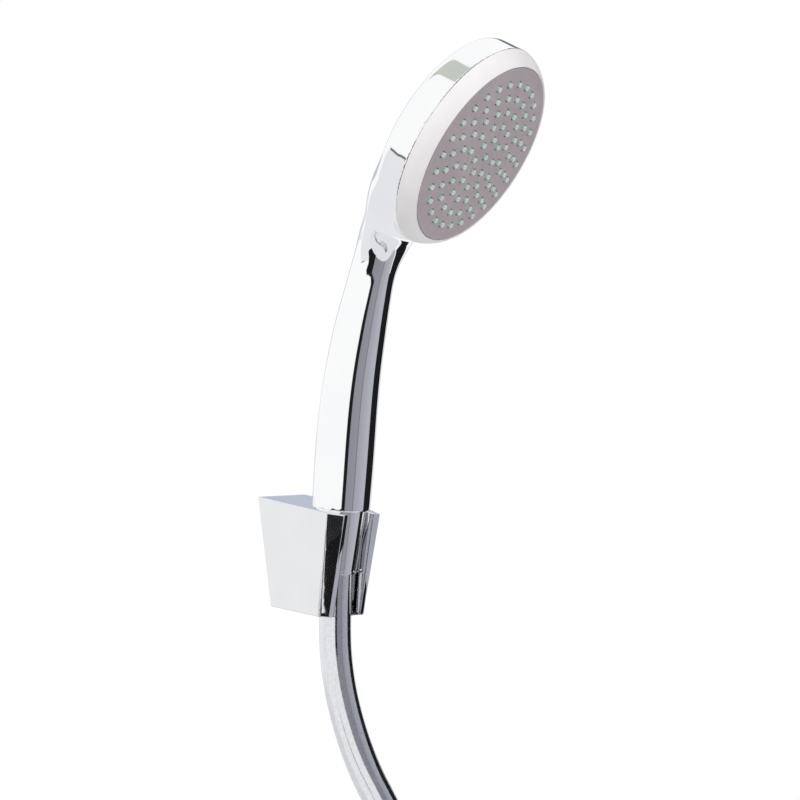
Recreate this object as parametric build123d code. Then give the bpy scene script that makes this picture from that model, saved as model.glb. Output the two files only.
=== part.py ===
# Hand shower standing in its wall bracket, with its hose coiled below it.
# The origin is the centre of the bracket's back, on the wall. +Z is up and the room is towards -Y.
# Lengths are millimetres and angles are degrees.
from build123d import *
from math import cos, pi, radians, sin, sqrt, tan
import os

# Clearances that pieces share
running_gap = 0.05
seat_gap = 0.15
assembly_gap = 0.1

# Seat axis: the line shared by the bracket's bore, the nut and the handle's end
axis_lean = 14.5
axis_out = 34.9
handset_turn = 15.0

# Wall bracket: its outline across the seat axis at the level of its top, and further down
bracket_height = 52.0
bracket_top_tilt = 16.0
bracket_bottom_tilt = 14.0
bracket_high = 15.2
bracket_low = -33.6
bracket_half_widths = (15.35, 14.6)
bracket_side_reaches = (6.1, 5.5)
nose_half_widths = (11.1, 11.3)
nose_reaches = (14.0, 8.5)
slot_half_width = 8.25
slot_reaches = (13.4, 9.0)
bracket_corner_round = 1.5
nose_round = 0.6

# Wall plate in the bracket's back, and the screw that locks them
plate_width = 20.0
plate_height = 36.0
plate_thickness = 6.0
plate_corner_round = 2.0
plate_hole_spacing = 24.0
plate_hole_radius = 2.6
plate_sink_radius = 5.0
pocket_depth = 11.0
grub_radius = 2.0
grub_length = 8.0
grub_key_radius = 1.1
grub_key_depth = 2.5

# Conical nut and what it clamps
nut_top_radius = 12.0
nut_bottom_radius = 9.3
nut_length = 30.0
nut_gap = 0.3
nut_groove_height = 1.3
nut_groove_width = 0.5
nut_groove_depth = 0.35
thread_radius = 10.4
thread_length = 8.0
washer_thickness = 2.0
washer_radius = 9.6
sieve_radius = 5.0
sieve_thickness = 0.6
sieve_hole_radius = 0.8
sieve_hole_circle = 3.0
sieve_hole_count = 6
insert_flange_thickness = 2.0
insert_flange_radius = 9.6
insert_length = 16.0
insert_wall = 1.2

# Hose
hose_radius = 7.5
hose_bore_radius = 4.25
hose_sleeve_gap = 0.3

# Handle: straight, then a long bow, then a neck that widens into the head's back
handle_end = 16.2
handle_straight = 30.8
bow_radius = 398.0
bow_turn = 12.0
handle_end_radius = 13.65
grip_radius = 13.95
grip_place = 21.8
bow_radii = ((3.0, 13.5), (6.5, 12.6), (10.0, 11.5), (12.0, 11.0))
neck_sections = (
    (141.0, 12.6, 17.5, 11.8),
    (150.0, 15.9, 19.5, 13.25),
    (159.0, 19.1, 20.0, 15.35),
    (168.0, 22.6, 24.0, 17.2),
    (177.0, 27.2, 31.0, 15.6),
    (185.0, 32.6, 37.0, 11.6),
    (190.0, 36.6, 40.0, 7.5),
)
handle_wall = 2.6

# Head: a disc with a domed back, seen from the plane where chrome meets the ring
head_height = 187.8
head_forward = 53.1
head_tilt = 25.2
head_radius = 50.0
band_taper = 0.9
band_depth = 11.8
rim_round = 1.4
dome_edge = 15.2
dome_depth = 22.5
head_wall = 2.8

# White ring, grey face and what stands behind them
ring_depth = 7.9
ring_bulge = 0.7
ring_lip = 0.5
ring_skirt_length = 4.5
ring_skirt_wall = 1.5
ring_width = 5.8
face_groove = 0.2
face_lip_thickness = 2.5
face_recess = 0.4
face_bead = 1.2
face_crown_radius = 400.0
flange_thickness = 2.0
mat_thickness = 2.0
plate_depth = 2.8
seal_radius = 0.7
seal_ledge = 2.0

# Spray nozzles
nozzle_margin = 8.0
nozzle_circle_step = 6.84
nozzle_pitch = 8.4
nozzle_phases = (2.0, 9.1, 2.3, 9.1, 1.7, 0.0)
nozzle_base_radius = 1.7
nozzle_tip_radius = 1.3
nozzle_proud = 1.2
nozzle_clearance = 0.15
jet_radius = 0.5
nozzle_sides = 8
jet_sides = 6

# Jet plate and its screws
spoke_count = 6
spoke_width = 2.4
hub_radius = 5.0
spider_ring_places = (1.5, 3.5)
spider_ring_width = 2.4
spider_rim_width = 6.0
screw_count = 3
screw_margin = 3.4
screw_start = 30.0
screw_radius = 1.25
screw_head_radius = 2.4
screw_head_height = 1.6
screw_grip = 3.2

# Water tube, inlet and flow limiter
tube_radius = 6.5
tube_wall = 1.5
tube_collar_length = 3.0
plug_radius = 11.25
plug_length = 18.0
socket_depth = 8.0
inlet_bore_radius = 4.8
inlet_groove_place = 3.0
limiter_pocket_radius = 7.5
limiter_pocket_depth = 5.0
limiter_thickness = 3.0
limiter_hole_radius = 0.8
limiter_hole_circle = 3.4
limiter_hole_count = 6

# Hose route from the axis down to the coil, and the coil itself, all in the plane X = 0 at first
hose_first_run = 33.0
hose_points = (
    (0, -23.8, -63.0),
    (0, -32.5, -101.0),
    (0, -50.0, -131.0),
    (0, -63.0, -163.0),
    (0, -68.5, -198.0),
    (0, -68.5, -232.0),
)
coil_radius = 75.2
coil_turns = 2
coil_step = 16.0
coil_side_step = 12.0
coil_tail = 57.0
tie_width = 10.0
tie_thickness = 1.4
tie_gap = 0.5

# Far end of the hose
sleeve_wall = 1.3
sleeve_length = 16.0
sleeve_cap = 2.0
end_neck_radius = 6.0
end_neck_length = 4.2
union_radius = 12.8
union_length = 18.0
union_wall = 3.2
union_flats = 8


def axis_point(height):
    """A point of the seat axis, by its distance along the axis."""
    return seat.origin + seat.z_dir * height


def ring_solid(plane, radius, section_radius, height):
    """A round seal: its circle's radius, its section's radius and its height in the plane."""
    return plane.location * Pos(0, 0, height) * Torus(radius, section_radius)


def turned(plane, *points):
    """A solid of revolution about the plane's Z, from points given as radius and height."""
    outline = Plane.XZ * make_face(Polyline(*points, close=True))
    return plane.location * revolve(outline, Axis.Z)


def arc_end(point, lean, radius, turn):
    """Where an arc that turns forward ends: its end point in the handle's plane."""
    start, stop = radians(lean), radians(lean + turn)
    y = point.Y + radius * (cos(stop) - cos(start))
    z = point.Z + radius * (sin(stop) - sin(start))
    return Vector(0, y, z)


def handle_section(point, lean, radius):
    """A round section of the handle, square to its centreline."""
    direction = (0, -sin(radians(lean)), cos(radians(lean)))
    return Plane(origin=point, x_dir=(1, 0, 0), z_dir=direction) * Circle(radius)


def handle_sections(inset):
    """All sections from the handle's end to the head's inside, drawn in by an inset."""
    sections = [
        handle_section(Vector(0, 0, handle_end), 0, handle_end_radius - inset),
        handle_section(Vector(0, 0, handle_end + grip_place), 0, grip_radius - inset),
    ]
    for turn, radius in bow_radii:
        point = arc_end(bow_start, 0, bow_radius, turn)
        sections.append(handle_section(point, turn, radius - inset))
    for height, forward, slant, radius in neck_sections:
        sections.append(handle_section(Vector(0, -forward, height), slant, radius - inset))
    return sections


def head_solid(side_inset, back_inset):
    """The head as a solid of revolution, drawn in at its side and at its back."""
    side = head_radius - side_inset
    band = side - band_taper
    outline = [
        (side, 0),
        (side - band_taper / 2, (band_depth - back_inset) / 2),
        (band, band_depth - back_inset),
        (band - rim_round / 2, band_depth + rim_round - back_inset),
        (band - 3 * rim_round, dome_edge - back_inset),
        (side / 2, (dome_edge + 3 * dome_depth) / 4 - back_inset),
        (0, dome_depth - back_inset),
    ]
    lines = [
        Line((0, 0), outline[0]),
        Spline(*outline, tangents=((-band_taper, band_depth), (-1, 0))),
        Line(outline[-1], (0, 0)),
    ]
    return head.location * revolve(Plane.XZ * make_face(lines), Axis.Z)


def crown_depth(radius):
    """Depth of the face's crowned front at a radius, from the plane where chrome meets the ring."""
    brim = face_radius - 2 * face_bead
    return -ring_depth + face_recess - (brim ** 2 - radius ** 2) / (2 * face_crown_radius)


def nozzle_places():
    """The nozzles' places on the face, ring by ring, as far in as there is room, one at the centre."""
    places = []
    for ring, phase in enumerate(nozzle_phases):
        radius = nozzle_circle - ring * nozzle_circle_step
        if radius < nozzle_base_radius:
            break
        count = max(1, round(2 * pi * radius / nozzle_pitch))
        if count == 1:
            radius = 0
        for index in range(count):
            angle = radians(phase + 360 * index / count)
            places.append((radius * cos(angle), radius * sin(angle)))
    return places


def spread(shape, circle, count, start=0):
    """Copies of a sketch at equal steps round a circle."""
    return Sketch() + [place * shape for place in PolarLocations(circle, count, start_angle=start)]


def screw_holes(radius):
    """Round holes of one radius at the plate screws' places."""
    return spread(Circle(radius), screw_circle, screw_count, screw_start)


def bracket_outline(height):
    """The bracket's outline across the axis, which changes evenly along it."""
    along = (height - bracket_high) / (bracket_low - bracket_high)
    half, reach, nose, nose_reach, slot_reach = (
        high + (low - high) * along for high, low in (
            bracket_half_widths, bracket_side_reaches, nose_half_widths, nose_reaches, slot_reaches))
    back = 2 * axis_out
    right = ((slot_half_width, 0), (slot_half_width, -slot_reach), (nose, -nose_reach), (half, -reach),
             (half, back))
    left = [(-x, y) for x, y in reversed(right)]
    outline = make_face(Polyline(*right, *left, close=True))
    sides = outline.vertices().filter_by(lambda v: abs(v.Y + reach) < 1e-6)
    outline = fillet(sides, bracket_corner_round)
    tips = outline.vertices().filter_by(
        lambda v: min(abs(v.Y + nose_reach), abs(v.Y + slot_reach)) < 1e-6)
    return seat.location * Pos(0, 0, height) * fillet(tips, nose_round)


def make_bracket_body():
    """Chromed block with a slot in front, cut by the wall, a slanted top and a slanted bottom."""
    block = loft([bracket_outline(bracket_low - bracket_height / 2),
                  bracket_outline(bracket_high + bracket_height / 2)], ruled=True)
    half = bracket_height / 2
    far = 2 * axis_out
    drop_top = far * tan(radians(bracket_top_tilt))
    drop_bottom = far * tan(radians(bracket_bottom_tilt))
    profile = Plane.YZ * make_face(Polyline(
        (0, half), (-far, half - drop_top), (-far, -half - drop_bottom), (0, -half), close=True))
    block = block & extrude(profile, axis_out, both=True)
    pocket = Pos(0, -pocket_depth / 2, -seat_gap / 2) * Box(
        plate_width + 2 * seat_gap, pocket_depth, plate_height + seat_gap)
    grub_hole = Pos(0, -plate_thickness / 2, -bracket_height / 2) * Cylinder(
        grub_radius + running_gap, bracket_height / 2)
    return block - make_seat_void() - pocket - grub_hole


def make_seat_void():
    """What the nut and hose need in the bracket: a cone as the nut's, and a bore below it."""
    slope = (nut_top_radius - nut_bottom_radius) / nut_length
    top = nut_top + bracket_height
    low = nut_bottom - bracket_height
    narrow = nut_bottom_radius + seat_gap
    wide = narrow + slope * (top - nut_bottom)
    return turned(seat, (0, low), (narrow, low), (narrow, nut_bottom), (wide, top), (0, top))


def make_wall_plate():
    """Flat plate with two countersunk screw holes, its back on the wall."""
    outline = fillet(Rectangle(plate_width, plate_height).vertices(), plate_corner_round)
    plate = extrude(Plane.XZ * outline, plate_thickness)
    sink = plate_sink_radius - plate_hole_radius
    for side in (-1, 1):
        place = Plane(origin=(0, 0, side * plate_hole_spacing / 2), x_dir=(1, 0, 0), z_dir=(0, -1, 0))
        plate -= turned(
            place, (0, -1), (plate_hole_radius, -1), (plate_hole_radius, plate_thickness - sink),
            (plate_sink_radius, plate_thickness), (plate_sink_radius, plate_thickness + 1),
            (0, plate_thickness + 1))
    return plate


def make_grub_screw():
    """Headless screw with a hexagonal key hole, from below against the plate."""
    top = -plate_height / 2 - running_gap
    screw = Pos(0, -plate_thickness / 2, top - grub_length / 2) * Cylinder(grub_radius, grub_length)
    key = extrude(RegularPolygon(grub_key_radius, 6), grub_key_depth)
    return screw - Pos(0, -plate_thickness / 2, top - grub_length) * key


def make_cone_nut():
    """Conical union nut: thread bore, recess for washer and flange, shoulder, hose bore."""
    slope = (nut_top_radius - nut_bottom_radius) / nut_length
    groove = nut_bottom + nut_groove_height
    groove_radius = nut_bottom_radius + slope * nut_groove_height
    groove_top = groove + nut_groove_width
    bore = hose_radius + hose_sleeve_gap
    recess = insert_flange_radius + assembly_gap
    return turned(
        handset, (bore, nut_bottom), (nut_bottom_radius, nut_bottom), (groove_radius, groove),
        (groove_radius - nut_groove_depth, groove), (groove_radius - nut_groove_depth, groove_top),
        (groove_radius + slope * nut_groove_width, groove_top), (nut_top_radius, nut_top),
        (thread_radius + running_gap, nut_top), (thread_radius + running_gap, inlet_tip),
        (recess, inlet_tip), (recess, insert_bottom - running_gap), (bore, insert_bottom - running_gap))


def make_body_shell():
    """Hollow handle and head back: a lofted handle whose neck widens into a turned head."""
    body = head_solid(0, 0) + handset.location * loft(handle_sections(0))
    chamber = head_solid(head_wall + seal_ledge, head_wall)
    socket = turned(head, (0, -1), (skirt_radius + assembly_gap, -1),
                    (skirt_radius + assembly_gap, seal_step), (0, seal_step))
    bore = handset.location * loft(handle_sections(handle_wall))
    mouth = turned(handset, (0, handle_end - 1), (plug_radius + running_gap, handle_end - 1),
                   (plug_radius + running_gap, plug_top), (0, plug_top))
    return body - ((socket + chamber) + (bore + mouth))


def make_bezel_ring():
    """White ring: a bulged bevel in front, a lip that holds the face, a skirt into the shell."""
    outer = head_radius - assembly_gap
    mouth = face_radius + face_groove
    inner = skirt_radius - ring_skirt_wall
    start = Vector(outer, -seat_gap)
    stop = Vector(mouth + ring_lip, -ring_depth)
    chord = (stop - start).normalized()
    bulge = (start + stop) / 2 + Vector(-chord.Y, chord.X) * ring_bulge
    lines = [
        ThreePointArc(start, bulge, stop),
        Polyline(stop, (mouth, -ring_depth + ring_lip), (mouth, flange_front), (inner, flange_front),
                 (inner, ring_skirt_length), (skirt_radius, ring_skirt_length),
                 (skirt_radius, -seat_gap), start),
    ]
    return head.location * revolve(Plane.XZ * make_face(lines), Axis.Z)


def make_spray_face():
    """Grey disc: a crowned front in a raised edge, a flange behind the ring's lip, nozzle holes."""
    edge = flange_front + running_gap
    brim = face_radius - 2 * face_bead
    top = Vector(0, crown_depth(0))
    foot = Vector(brim, crown_depth(brim))
    lines = [
        Polyline(top, (0, mat_front), (flange_radius, mat_front), (flange_radius, edge), (face_radius, edge),
                 (face_radius, -ring_depth + face_bead / 3), (face_radius - face_bead / 3, -ring_depth),
                 (face_radius - face_bead, -ring_depth), foot),
        ThreePointArc(foot, (brim / 2, crown_depth(brim / 2)), top),
    ]
    disc = head.location * revolve(Plane.XZ * make_face(lines), Axis.Z)
    holes = Sketch() + [
        Pos(x, y) * RegularPolygon(nozzle_base_radius + nozzle_clearance, nozzle_sides)
        for x, y in nozzle_places()]
    front = crown_depth(0) - 1
    drill = Pos(0, 0, front) * extrude(holes, mat_front - front + 1)
    pilot = screw_tip - running_gap
    pilots = Pos(0, 0, pilot) * extrude(screw_holes(screw_radius + running_gap), mat_front - pilot)
    return disc - head.location * drill - head.location * pilots


def make_nozzle_mat():
    """Silicone mat with tapered nozzles, each with its jet."""
    mat = Pos(0, 0, mat_front) * extrude(Circle(mat_radius), mat_thickness)
    front = crown_depth(0) - nozzle_proud - 1
    nozzles = []
    jets = []
    for x, y in nozzle_places():
        base = Pos(x, y, mat_front) * RegularPolygon(nozzle_base_radius, nozzle_sides)
        end = crown_depth(sqrt(x ** 2 + y ** 2)) - nozzle_proud
        tip = Pos(x, y, end) * RegularPolygon(nozzle_tip_radius, nozzle_sides)
        nozzles.append(loft([base, tip], ruled=True))
        jets.append(Pos(x, y) * RegularPolygon(jet_radius, jet_sides))
    mat = mat + nozzles
    drill = Pos(0, 0, front) * extrude(Sketch() + jets, mat_front + mat_thickness + 1 - front)
    holes = extrude(screw_holes(screw_radius + assembly_gap), mat_thickness)
    return head.location * (mat - drill - Pos(0, 0, mat_front) * holes)


def make_jet_plate():
    """Spider that backs the mat: rim, rings, hub and spokes."""
    web = Circle(mat_radius) - Circle(mat_radius - spider_rim_width) + Circle(hub_radius)
    for place in spider_ring_places:
        radius = nozzle_circle - place * nozzle_circle_step
        web += Circle(radius + spider_ring_width / 2) - Circle(radius - spider_ring_width / 2)
    reach = mat_radius - spider_rim_width / 2
    for index in range(spoke_count):
        web += Rot(0, 0, 360 * index / spoke_count) * Pos(reach / 2, 0) * Rectangle(reach, spoke_width)
    web -= screw_holes(screw_radius + assembly_gap)
    return head.location * Pos(0, 0, plate_front) * extrude(web, plate_depth)


def make_plate_screws():
    """Three screws from the jet plate's back into the spray face."""
    back = plate_front + plate_depth
    screws = []
    for place in PolarLocations(screw_circle, screw_count, start_angle=screw_start):
        shank = Pos(0, 0, screw_tip) * extrude(Circle(screw_radius), back - screw_tip)
        cap = Pos(0, 0, back) * extrude(Circle(screw_head_radius), screw_head_height)
        screws.append(head.location * place * (shank + cap))
    return Compound(children=screws)


def make_waterway_tube():
    """Inner tube of the handle, along its centreline, with a collar in the neck."""
    path = Curve() + [
        Line((0, 0, socket_floor), bow_start),
        ThreePointArc(bow_start, arc_end(bow_start, 0, bow_radius, bow_turn / 2), bow_stop),
    ]
    section = Plane(origin=(0, 0, socket_floor)) * (Circle(tube_radius) - Circle(tube_radius - tube_wall))
    tube = sweep(section, path)
    direction = Vector(0, -sin(radians(bow_turn)), cos(radians(bow_turn)))
    collar_plane = Plane(origin=bow_stop, x_dir=(1, 0, 0), z_dir=-direction)
    collar_radius = bow_radii[-1][1] - handle_wall - assembly_gap
    collar = extrude(collar_plane * (Circle(collar_radius) - Circle(tube_radius - tube_wall / 2)),
                     tube_collar_length)
    return handset.location * (tube + collar)


def make_inlet_connector():
    """Threaded inlet: plug in the handle, thread below it, pocket, bore and tube socket."""
    groove = socket_floor + inlet_groove_place
    groove_top = groove + 2 * seal_radius + assembly_gap
    groove_radius = tube_radius + 2 * seal_radius + assembly_gap
    socket = tube_radius + running_gap
    pocket_top = inlet_tip + limiter_pocket_depth
    return turned(
        handset, (limiter_pocket_radius, inlet_tip), (thread_radius, inlet_tip),
        (thread_radius, handle_end), (plug_radius, handle_end), (plug_radius, plug_top), (socket, plug_top),
        (socket, groove_top), (groove_radius, groove_top), (groove_radius, groove), (socket, groove),
        (socket, socket_floor), (inlet_bore_radius, socket_floor), (inlet_bore_radius, pocket_top),
        (limiter_pocket_radius, pocket_top))


def make_flow_limiter():
    """Disc with small holes at the top of the inlet's pocket."""
    top = inlet_tip + limiter_pocket_depth
    holes = spread(Circle(limiter_hole_radius), limiter_hole_circle, limiter_hole_count)
    radius = limiter_pocket_radius - 2 * seal_radius - assembly_gap
    disc = extrude(Circle(radius) - holes, limiter_thickness)
    return handset.location * Pos(0, 0, top - limiter_thickness) * disc


def make_sieve_washer():
    """Rubber washer with a fine sieve across its hole."""
    ring = Circle(washer_radius) - Circle(sieve_radius)
    holes = spread(RegularPolygon(sieve_hole_radius, jet_sides), sieve_hole_circle, sieve_hole_count)
    sieve = Circle(sieve_radius) - holes
    washer = extrude(ring, washer_thickness) + extrude(sieve, sieve_thickness)
    return handset.location * Pos(0, 0, inlet_tip - washer_thickness) * washer


def make_insert(plane, flange_low, flange_top, spigot_end):
    """Flanged hose insert along a plane's Z: a flange and a spigot that goes into the hose."""
    radius = hose_bore_radius - running_gap
    bore = radius - insert_wall
    return turned(plane, (bore, spigot_end), (radius, spigot_end), (radius, flange_low),
                  (insert_flange_radius, flange_low), (insert_flange_radius, flange_top), (bore, flange_top))


def hose_section(point, direction):
    """The hose's section, square to its direction."""
    plane = Plane(origin=point, x_dir=(1, 0, 0), z_dir=direction)
    return plane * (Circle(hose_radius) - Circle(hose_bore_radius))


def hose_route():
    """Points of the hanging stretch, the first two on the seat axis."""
    return [axis_point(insert_bottom), axis_point(insert_bottom - hose_first_run),
            *(Vector(*p) for p in hose_points)]


def route_radii(points):
    """The largest tidy arc at each inner point: 0.45 of the shorter run over the half turn's tangent."""
    radii = []
    for before, here, after in zip(points, points[1:], points[2:]):
        turn = radians((here - before).get_angle(after - here))
        shorter = min((here - before).length, (after - here).length)
        radii.append(0.45 * shorter / tan(turn / 2))
    return radii


def make_hose():
    """Hanging stretch, from the top insert to the coil, as runs joined by tangent arcs."""
    points = hose_route()
    radii = route_radii(points)
    print("hose radii", [round(r) for r in radii])
    path = FilletPolyline(*points, radius=radii)
    tube = sweep(hose_section(points[0], points[1] - points[0]), path)
    report_tube("hose", tube, path)
    return tube


def report_tube(name, tube, path):
    """Compare a tube's volume with its section times its length."""
    expected = pi * (hose_radius ** 2 - hose_bore_radius ** 2) * path.length
    print(name, "length", round(path.length, 1), "volume over section times length",
          round(tube.volume / expected, 5))


def biarc(start, start_dir, stop, stop_dir):
    """Two tangent arcs that join two points with the given directions."""
    chord = stop - start
    both = start_dir + stop_dir
    lack = 2 * (1 - start_dir.dot(stop_dir))
    along = chord.dot(both)
    reach = (sqrt(along ** 2 + lack * chord.dot(chord)) - along) / lack
    near = start + start_dir * reach
    far = stop - stop_dir * reach
    middle = (near + far) / 2
    return [TangentArc(start, middle, tangent=start_dir),
            TangentArc(middle, stop, tangent=far - near)]


def coil_knots():
    """Points and directions of the coil at each quarter turn, and the end of its straight tail."""
    entry = Vector(*hose_points[-1])
    centre = entry - Vector(0, coil_radius, 0)
    quarters = 4 * coil_turns
    knots = []
    for quarter in range(quarters + 1):
        angle = quarter * pi / 2
        last = max(0, quarter - (quarters - 2)) / 2
        side = coil_step * quarter / 4 + coil_side_step * last
        slope = coil_step / (2 * pi * coil_radius) if 0 < quarter < quarters else 0
        place = centre + Vector(side, coil_radius * cos(angle), -coil_radius * sin(angle))
        knots.append((place, Vector(slope, -sin(angle), -cos(angle)).normalized()))
    return knots


def coil_path():
    """The coil's line: a biarc for each quarter turn, then a straight tail."""
    knots = coil_knots()
    edges = []
    for (start, start_dir), (stop, stop_dir) in zip(knots, knots[1:]):
        edges += biarc(start, start_dir, stop, stop_dir)
    end, end_dir = knots[-1]
    return Wire(edges + [Line(end, end + end_dir * coil_tail)])


def make_hose_coil():
    """The put-away length: a round coil of whole turns, one unbroken tube."""
    path = coil_path()
    start, start_dir = coil_knots()[0]
    tube = sweep(hose_section(start, start_dir), path)
    report_tube("coil", tube, path)
    count = 480
    points = [path.position_at(i / count) for i in range(count + 1)]
    apart = round(count * coil_radius * 2 / path.length)
    least = min((points[i] - points[j]).length
                for i in range(count + 1) for j in range(i + apart, count + 1))
    print("coil least gap to itself", round(least - 2 * hose_radius, 2))
    return tube


def make_coil_tie():
    """Strap round the coil's turns, on the side away from the wall."""
    entry = Vector(*hose_points[-1])
    inner = hose_radius + tie_gap
    outer = inner + tie_thickness
    length = coil_step * (coil_turns - 1)
    middle = entry + Vector(coil_step / 2 + length / 2, -2 * coil_radius, 0)
    strap = SlotOverall(length + 2 * outer, 2 * outer) - SlotOverall(length + 2 * inner, 2 * inner)
    return Plane(origin=middle, x_dir=(1, 0, 0), z_dir=(0, 0, 1)).location * extrude(
        strap, tie_width / 2, both=True)


def make_end_sleeve():
    """Crimped sleeve over the hose's far end, closed by a cap with a hole."""
    inner = hose_radius + running_gap
    outer = inner + sleeve_wall
    hole = hose_bore_radius + running_gap
    return turned(hose_end, (inner, -sleeve_length), (outer, -sleeve_length), (outer, sleeve_cap),
                  (hole, sleeve_cap), (hole, 0), (inner, 0))


def make_end_insert():
    """Far insert: spigot in the hose, neck beyond the sleeve, flange in the union nut."""
    radius = hose_bore_radius - running_gap
    bore = radius - insert_wall
    neck_top = sleeve_cap + end_neck_length
    flange_top = neck_top + insert_flange_thickness
    return turned(hose_end, (bore, -insert_length), (radius, -insert_length), (radius, sleeve_cap),
                  (end_neck_radius, sleeve_cap), (end_neck_radius, neck_top),
                  (insert_flange_radius, neck_top), (insert_flange_radius, flange_top), (bore, flange_top))


def make_wall_nut():
    """Union nut of the far end: flats outside, a thread bore above a recess inside."""
    neck_top = sleeve_cap + end_neck_length
    low = neck_top - running_gap - union_wall
    top = low + union_length
    seat_floor = low + union_wall
    thread_start = neck_top + insert_flange_thickness + washer_thickness + 2 * running_gap
    neck = end_neck_radius + assembly_gap
    recess = insert_flange_radius + assembly_gap
    thread = thread_radius + running_gap
    outside = RegularPolygon(union_radius, union_flats, major_radius=False)
    blank = hose_end.location * Pos(0, 0, low) * extrude(outside, union_length)
    void = turned(hose_end, (0, low - 1), (neck, low - 1), (neck, seat_floor), (recess, seat_floor),
                  (recess, thread_start), (thread, thread_start), (thread, top + 1), (0, top + 1))
    return blank - void


def make_wall_washer():
    """Flat washer that lies on the far insert's flange, inside the union nut."""
    low = sleeve_cap + end_neck_length + insert_flange_thickness + running_gap
    ring = Circle(washer_radius) - Circle(sieve_radius)
    return hose_end.location * Pos(0, 0, low) * extrude(ring, washer_thickness)


# Heights along the seat axis, from the handle's end down
nut_top = handle_end - nut_gap
nut_bottom = nut_top - nut_length
inlet_tip = handle_end - thread_length
insert_top = inlet_tip - washer_thickness - running_gap
insert_bottom = insert_top - insert_flange_thickness
plug_top = handle_end + plug_length
socket_floor = plug_top - socket_depth

# Depths and radii in the head, front negative, from the plane where chrome meets the ring
flange_front = -ring_depth + face_lip_thickness
mat_front = flange_front + running_gap + flange_thickness
plate_front = mat_front + mat_thickness
seal_step = ring_skirt_length + 2 * seal_radius + assembly_gap
skirt_radius = head_radius - head_wall - assembly_gap
flange_radius = skirt_radius - ring_skirt_wall - assembly_gap
mat_radius = flange_radius - assembly_gap
screw_tip = mat_front - screw_grip
face_radius = head_radius - ring_width
nozzle_circle = face_radius - nozzle_margin
screw_circle = face_radius - screw_margin

# Planes: the seat, the handset turned in it, the handle's centreline points, the head, the hose's end
lean = radians(axis_lean)
seat = Plane(origin=(0, -axis_out, 0), x_dir=(1, 0, 0), z_dir=(0, -sin(lean), cos(lean)))
handset = Plane(seat.location * Rot(0, 0, handset_turn))
bow_start = Vector(0, 0, handle_end + handle_straight)
bow_stop = arc_end(bow_start, 0, bow_radius, bow_turn)
tilt = radians(head_tilt)
head_local = Plane(origin=(0, -head_forward, head_height), x_dir=(0, -sin(tilt), cos(tilt)),
                   z_dir=(0, cos(tilt), sin(tilt)))
head = Plane(handset.location * head_local.location)
tail_point, tail_dir = coil_knots()[-1]
hose_end = Plane(origin=tail_point + tail_dir * coil_tail, x_dir=(1, 0, 0), z_dir=tail_dir)

seal_middle = ring_skirt_length + seal_radius + assembly_gap / 2
tube_seal_height = socket_floor + inlet_groove_place + seal_radius + assembly_gap / 2
limiter_seal_height = inlet_tip + limiter_pocket_depth - limiter_thickness / 2

pieces = {
    "bracket_body": make_bracket_body(),
    "wall_plate": make_wall_plate(),
    "grub_screw": make_grub_screw(),
    "cone_nut": make_cone_nut(),
    "body_shell": make_body_shell(),
    "bezel_ring": make_bezel_ring(),
    "spray_face": make_spray_face(),
    "nozzle_mat": make_nozzle_mat(),
    "jet_plate": make_jet_plate(),
    "plate_screws": make_plate_screws(),
    "head_seal": ring_solid(head, skirt_radius - ring_skirt_wall / 2, seal_radius, seal_middle),
    "waterway_tube": make_waterway_tube(),
    "tube_seal": ring_solid(handset, tube_radius + seal_radius + assembly_gap / 2, seal_radius,
                            tube_seal_height),
    "inlet_connector": make_inlet_connector(),
    "flow_limiter": make_flow_limiter(),
    "limiter_seal": ring_solid(handset, limiter_pocket_radius - seal_radius - assembly_gap / 2,
                               seal_radius, limiter_seal_height),
    "sieve_washer": make_sieve_washer(),
    "top_insert": make_insert(seat, insert_bottom, insert_top, insert_bottom - insert_length),
    "hose": make_hose(),
    "hose_coil": make_hose_coil(),
    "coil_tie": make_coil_tie(),
    "end_sleeve": make_end_sleeve(),
    "end_insert": make_end_insert(),
    "wall_nut": make_wall_nut(),
    "wall_washer": make_wall_washer(),
}

os.makedirs("parts", exist_ok=True)
for name, piece in pieces.items():
    export_step(piece, f"parts/{name}.step")
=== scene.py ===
from math import cos, pi, radians, sin

import bmesh
import bpy
import numpy as np
from mathutils import Matrix, Vector


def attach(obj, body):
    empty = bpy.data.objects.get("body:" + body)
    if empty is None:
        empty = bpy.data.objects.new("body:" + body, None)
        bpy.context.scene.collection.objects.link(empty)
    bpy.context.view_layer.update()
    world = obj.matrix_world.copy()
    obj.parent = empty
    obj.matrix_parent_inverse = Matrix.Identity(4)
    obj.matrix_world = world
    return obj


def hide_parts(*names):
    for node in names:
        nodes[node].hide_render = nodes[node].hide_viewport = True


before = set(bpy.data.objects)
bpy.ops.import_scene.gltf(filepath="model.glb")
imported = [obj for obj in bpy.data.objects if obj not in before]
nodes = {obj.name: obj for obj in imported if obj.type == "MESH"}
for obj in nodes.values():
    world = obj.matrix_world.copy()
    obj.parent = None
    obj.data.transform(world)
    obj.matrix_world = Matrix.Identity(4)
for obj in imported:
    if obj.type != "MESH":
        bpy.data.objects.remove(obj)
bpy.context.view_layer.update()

scene = bpy.context.scene
scene.view_settings.view_transform = "Standard"
mm = 0.001

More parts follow.
